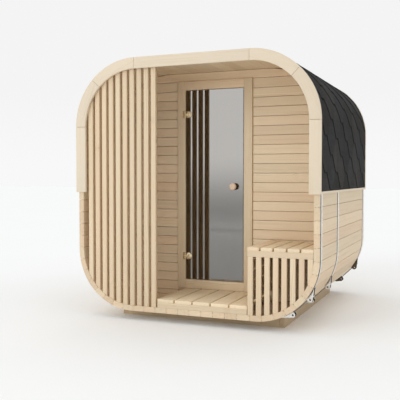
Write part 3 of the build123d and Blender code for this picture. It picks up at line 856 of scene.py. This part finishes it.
# Shingles
class Roof:
    """The right half of the roof's line, from the hem up and over to the ridge."""

    def __init__(self):
        low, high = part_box("roof_covering_right")
        self.hem_z = low.z
        self.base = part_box("roof_covering_middle")[0].z - shell_high.z
        self.side_length = TOP_CENTER.y - self.hem_z
        self.bend_length = TOP_RADIUS * pi / 2
        self.length = self.side_length + self.bend_length + TOP_CENTER.x

    def at(self, way, lift):
        """X and Z at a distance from the hem and a height over the shell."""
        reach = TOP_RADIUS + lift
        if way <= self.side_length:
            return HALF_WIDTH + lift, self.hem_z + way
        way -= self.side_length
        if way <= self.bend_length:
            angle = way / TOP_RADIUS
            return TOP_CENTER.x + reach * cos(angle), TOP_CENTER.y + reach * sin(angle)
        return TOP_CENTER.x - (way - self.bend_length), shell_high.z + lift


def tab_sides(y, rise):
    """Front and back edge of a tab at a distance above its butt."""
    flare = TAB_PITCH / 2 - TAB_BUTT
    if rise > TAB_EXPOSURE:
        return y - TAB_PITCH / 2, y + TAB_PITCH / 2
    half = TAB_BUTT / 2 + flare * rise / TAB_EXPOSURE
    return y - half, y + half


def tab_lift(rise, curl):
    """How far a tab's underside stands off at a distance above its butt.

    It lies on the course below at its butt and comes down to the roof at its upper edge.
    """
    raised = TAB_THICKNESS * TAB_HEIGHT / TAB_EXPOSURE
    return raised * (1 - rise / TAB_HEIGHT) + curl * max(0, 1 - rise / TAB_EXPOSURE)


def add_tab(points, places, faces, dark, roof, side, nominal, y, starter):
    """One tab bent over the roof's line, as a closed sheet.

    A starter is a plain strip under the first course, and it begins at the hem.
    """
    butt = max(nominal, 0)
    curl = chance.uniform(0, TAB_CURL)
    low_steps = [TAB_EXPOSURE * i / TAB_STEPS for i in range(TAB_STEPS + 1)]
    hidden = TAB_HEIGHT - TAB_EXPOSURE
    top_steps = [TAB_EXPOSURE + hidden * i / TAB_STEPS for i in range(TAB_STEPS + 1)]
    top_steps[0] += TAB_SHOULDER
    start = len(points)
    rows = 0
    for rise in low_steps + top_steps:
        way = butt + rise
        if way > roof.length or way - nominal > TAB_HEIGHT + TAB_SHOULDER:
            continue
        sides = tab_sides(y, TAB_HEIGHT if starter else rise)
        front, back = (min(max(edge, FRONT_Y), REAR_Y) for edge in sides)
        lift = roof.base + tab_lift(way - nominal, curl)
        for height_over in (lift, lift + TAB_THICKNESS):
            x, z = roof.at(way, height_over)
            points += [(side * x, front, z), (side * x, back, z)]
            places += [(front - y, way - nominal, 0), (back - y, way - nominal, 0)]
        rows += 1
    for row in range(rows - 1):
        a = start + 4 * row
        b = a + 4
        quads = [
            ((a + 2, a + 3, b + 3, b + 2), 0),
            ((a, b, b + 1, a + 1), 1),
            ((a, a + 2, b + 2, b), 1),
            ((a + 1, b + 1, b + 3, a + 3), 1),
        ]
        for quad, material in quads:
            faces.append(quad[::side])
            dark.append(material)
    last = start + 4 * (rows - 1)
    for quad in ((start, start + 1, start + 3, start + 2), (last, last + 2, last + 3, last + 1)):
        faces.append(quad[::side])
        dark.append(1)


def add_caps(points, places, faces, dark, seat):
    """Caps with clipped corners along the ridge, the lowest of them at the seat's height."""
    reach = (REAR_Y - FRONT_Y) / CAP_COUNT
    wide = CAP_HALF_WIDTH
    for i in range(CAP_COUNT):
        butt_y = FRONT_Y + i * reach
        clipped_y = butt_y + CAP_CORNER
        top_y = min(butt_y + 2 * reach, REAR_Y)
        left = [(-wide, top_y), (-wide, clipped_y), (CAP_CORNER - wide, butt_y)]
        outline = left + [(-x, y) for x, y in left[::-1]]
        start = len(points)
        for over in (0, CAP_THICKNESS):
            for x, y in outline:
                lap = CAP_THICKNESS * (2 - (y - butt_y) / reach)
                points.append((x, y, seat + lap + over))
                places.append((0, y - butt_y + 2 * TAB_EXPOSURE - reach, 0))
        count = len(outline)
        faces.append(tuple(range(start + count, start + 2 * count)))
        faces.append(tuple(reversed(range(start, start + count))))
        dark += [0, 1]
        for near in range(count):
            far = (near + 1) % count
            faces.append((start + near, start + far, start + count + far, start + count + near))
            dark.append(1)


def build_roof():
    """Courses of tabs on both sides, each half a tab on from the last, and caps along the ridge."""
    roof = Roof()
    points, places, faces, dark = [], [], [], []
    first_way = TAB_FIRST_Z - roof.hem_z
    courses = int((roof.length - CAP_HALF_WIDTH - first_way) / TAB_EXPOSURE) + 1
    tabs = ceil((REAR_Y - FRONT_Y) / TAB_PITCH) + 2
    for side in (1, -1):
        for course in range(-1, courses):
            nominal = first_way + course * TAB_EXPOSURE
            shift = TAB_PITCH / 2 if course % 2 else 0
            for i in range(-2, tabs):
                y = TAB_PHASE_Y + shift + i * TAB_PITCH
                front, back = tab_sides(y, TAB_HEIGHT)
                if back > FRONT_Y and front < REAR_Y:
                    starter = course < 0
                    add_tab(points, places, faces, dark, roof, side, nominal, y, starter)
    edge_rise = roof.length - CAP_HALF_WIDTH - (first_way + (courses - 1) * TAB_EXPOSURE)
    seat = shell_high.z + roof.base + tab_lift(edge_rise, TAB_CURL) + TAB_THICKNESS
    add_caps(points, places, faces, dark, seat)
    mesh = mesh_of("roof_shingles", points, faces)
    mesh.polygons.foreach_set("material_index", dark)
    tab_place = mesh.attributes.new("tab_place", "FLOAT_VECTOR", "POINT")
    tab_place.data.foreach_set("vector", np.ravel(places))
    mark_grain(mesh)
    replaced = ["roof_covering_left", "roof_covering_middle", "roof_covering_right"]
    show("roof_shingles", mesh, [SHINGLE, BITUMEN], BUILDING, replaced)


# Door fittings. The knob's profile runs from the glass out: distance from it and radius
KNOB_PROFILE = [
    (0.0, 0.0170),
    (0.0020, 0.0172),
    (0.0050, 0.0145),
    (0.0090, 0.0130),
    (0.0150, 0.0130),
    (0.0185, 0.0150),
    (0.0205, 0.0215),
    (0.0235, 0.0275),
    (0.0280, 0.0303),
    (0.0340, 0.0310),
    (0.0430, 0.0310),
    (0.0490, 0.0300),
    (0.0528, 0.0272),
    (0.0545, 0.0230),
    (0.0550, 0.0120),
    (0.0552, 0.0),
]
KNOB_SIDES = 48


def build_knobs():
    """Two turned knobs, one on each face of the glass."""
    low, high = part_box("door_knobs")
    glass_low, glass_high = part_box("door_glass")
    center = (low + high) / 2
    reach = glass_low.y - low.y
    built = bmesh.new()
    for face_y, way in ((glass_low.y, -1), (glass_high.y, 1)):
        rings = []
        for distance, radius in KNOB_PROFILE:
            y = face_y + way * min(distance, reach)
            ring = []
            for i in range(KNOB_SIDES if radius else 1):
                angle = 2 * pi * i / KNOB_SIDES
                place = (center.x + radius * cos(angle), y, center.z + radius * sin(angle))
                ring.append(built.verts.new(place))
            rings.append(ring)
        rings.insert(0, [built.verts.new((center.x, face_y, center.z))])
        for near, far in zip(rings, rings[1:]):
            for i in range(KNOB_SIDES):
                j = (i + 1) % KNOB_SIDES
                loop = [near[i % len(near)], near[j % len(near)]]
                loop += [far[j % len(far)], far[i % len(far)]]
                corners = list(dict.fromkeys(loop))
                if way > 0:
                    corners.reverse()
                built.faces.new(corners)
    mesh = bpy.data.meshes.new("turned_knobs")
    built.to_mesh(mesh)
    built.free()
    mark_grain(mesh, 0.004, 0.012)
    mesh.shade_smooth()
    show("turned_knobs", mesh, [TURNED], DOOR, ["door_knobs"])


def finish_glass():
    """The glass leaf keeps the model's own shape, notches and bore, and gets its finish."""
    own = nodes["door_glass"].data.materials
    own.clear()
    own.append(GLASS)


# Screws. The profile runs from the hollow out and down into the plate: height and radius
SCREW_PROFILE = [
    (0.0008, 0.0004),
    (0.0019, 0.0014),
    (0.0022, 0.0026),
    (0.0014, 0.0040),
    (0.0003, 0.0043),
    (-0.0010, 0.0043),
]
SCREW_SIDES = 20
HINGE_HEIGHT = 0.062
HINGE_PLATE = 0.005
SCREW_INSET = 0.010
SCREW_SPREAD = 0.019


def build_hinge_screws():
    """Two round-headed screws with a hollow in the middle in each fixed hinge plate."""
    low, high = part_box("hinge_plates")
    face_y = high.y - HINGE_PLATE
    points, faces = [], []
    for hinge_z in (low.z + HINGE_HEIGHT / 2, high.z - HINGE_HEIGHT / 2):
        for screw_z in (hinge_z - SCREW_SPREAD, hinge_z + SCREW_SPREAD):
            start = len(points)
            for lift, radius in SCREW_PROFILE:
                for i in range(SCREW_SIDES):
                    turn = 2 * pi * i / SCREW_SIDES
                    x = low.x + SCREW_INSET + radius * cos(turn)
                    points.append((x, face_y - lift, screw_z + radius * sin(turn)))
            last = start + (len(SCREW_PROFILE) - 1) * SCREW_SIDES
            for near in range(start, last, SCREW_SIDES):
                far = near + SCREW_SIDES
                for i in range(SCREW_SIDES):
                    j = (i + 1) % SCREW_SIDES
                    faces.append((near + i, far + i, far + j, near + j))
            faces.append(tuple(range(start, start + SCREW_SIDES)))
            faces.append(tuple(reversed(range(last, last + SCREW_SIDES))))
    mesh = mesh_of("hinge_screws", points, faces)
    show("hinge_screws", mesh, [BRASS], BUILDING)


# Stage, light and camera. The soft box is given by its left, right, low and high edges and depth
FLOOR_REACH = 60.0
SOFT_BOX = (-6.4, -1.0, 0.35, 4.6, -9.0)
SOFT_BOX_FOOT = 1.4
SOFT_BOX_RIM = 0.9
SOFT_BOX_LIGHT = 1.2
SKY_LIGHT = 1.33
LOW_SKY = 0.5
LAMP_POWER = 0.42
LAMP_SPREAD = radians(28)
LAMP_WAY = (-0.6, -1.0, 0.5)
HORIZON = tint(248, 248, 248)
BACKDROP = tint(244, 244, 244)
BACKDROP_FADE = 0.14


def build_stage():
    far = FLOOR_REACH
    corners = [(-far, -far, 0), (far, -far, 0), (far, far, 0), (-far, far, 0)]
    mesh = mesh_of("floor", corners, [(0, 1, 2, 3)])
    finish = Finish("studio_floor", {"Roughness": 0.9, "Specular IOR Level": 0.0})
    cloud = finish.noise(finish.place(), 0.6, 2.0)
    finish.feed("Base Color", finish.blend(cloud, tint(248, 249, 249), tint(250, 251, 251)))
    mesh.materials.append(finish.material)
    floor = bpy.data.objects.new("floor", mesh)
    bpy.context.scene.collection.objects.link(floor)


def build_soft_box():
    """A large soft box at the front left, which the door mirrors; it fades towards its rim."""
    left, right, low, high, depth = SOFT_BOX
    corners = [(left, depth, low), (right, depth, low), (right, depth, high), (left, depth, high)]
    mesh = mesh_of("soft_box", corners, [(3, 2, 1, 0)])
    finish = Finish("soft_box", {})
    place = finish.place()
    across = finish.part(place, "X")
    rise = finish.part(place, "Z")
    glow = finish.ramp(rise, low, low + SOFT_BOX_FOOT)
    glow = glow * (1 - finish.ramp(rise, high - SOFT_BOX_RIM, high))
    glow = glow * finish.ramp(across, left, left + SOFT_BOX_RIM)
    glow = glow * (1 - finish.ramp(across, right - SOFT_BOX_RIM, right))
    light = finish.node("ShaderNodeEmission", {}, {"Strength": glow * SOFT_BOX_LIGHT})
    clear = finish.node("ShaderNodeBsdfTransparent", {}, {})
    both = finish.node("ShaderNodeAddShader", {}, {0: light, 1: clear})
    finish.plug(finish.tree.nodes["Material Output"].inputs["Surface"], both)
    mesh.materials.append(finish.material)
    panel = bpy.data.objects.new("soft_box", mesh)
    panel.visible_camera = False
    panel.visible_shadow = False
    bpy.context.scene.collection.objects.link(panel)


class Surroundings(Finish):
    """The studio's world, built with the same calls as a finish."""

    def __init__(self, name):
        world = bpy.data.worlds.new(name)
        bpy.context.scene.world = world
        world.use_nodes = True
        self.tree = world.node_tree


def build_world():
    """Soft light from overhead; the camera, glass and metal see the pale backdrop itself."""
    studio = Surroundings("studio")
    rise = studio.part(studio.node("ShaderNodeTexCoord", {}, {}, "Generated"), "Z")
    white = (1.0, 1.0, 1.0, 1.0)
    strength = rise.most(LOW_SKY) * SKY_LIGHT
    light = studio.node("ShaderNodeBackground", {}, {"Color": white, "Strength": strength})
    shown = studio.blend(studio.ramp(rise, 0.0, BACKDROP_FADE), HORIZON, BACKDROP)
    seen = studio.node("ShaderNodeBackground", {}, {"Color": shown})
    camera, glossy, through = (
        studio.node("ShaderNodeLightPath", {}, {}, ray)
        for ray in ("Is Camera Ray", "Is Glossy Ray", "Is Transmission Ray")
    )
    direct = camera.most(glossy).most(through)
    both = studio.node("ShaderNodeMixShader", {}, {0: direct, 1: light, 2: seen})
    studio.plug(studio.tree.nodes["World Output"].inputs["Surface"], both)


def build_lights():
    """A weak, broad lamp from the front left."""
    lamp = bpy.data.lights.new("front_lamp", "SUN")
    lamp.energy = LAMP_POWER
    lamp.angle = LAMP_SPREAD
    holder = bpy.data.objects.new("front_lamp", lamp)
    holder.rotation_euler = Vector(LAMP_WAY).to_track_quat("Z", "Y").to_euler()
    bpy.context.scene.collection.objects.link(holder)


CAMERA_PLACE = (2.1624, -6.0173, 1.2238)
CAMERA_TURN = (radians(87.96), 0.0, radians(22.70))
CAMERA_LENS = 59.74


def build_camera():
    camera = bpy.data.cameras.new("camera")
    camera.lens = CAMERA_LENS
    holder = bpy.data.objects.new("camera", camera)
    holder.location = CAMERA_PLACE
    holder.rotation_euler = CAMERA_TURN
    bpy.context.scene.collection.objects.link(holder)
    bpy.context.scene.camera = holder


bpy.context.scene.view_settings.view_transform = "Standard"
build_camera()
build_stage()
build_soft_box()
build_world()
build_lights()
build_staves()
build_front_wall()
build_rear_wall()
build_eased_pieces()
build_bands()
build_roof()
build_knobs()
finish_glass()
build_hinge_screws()
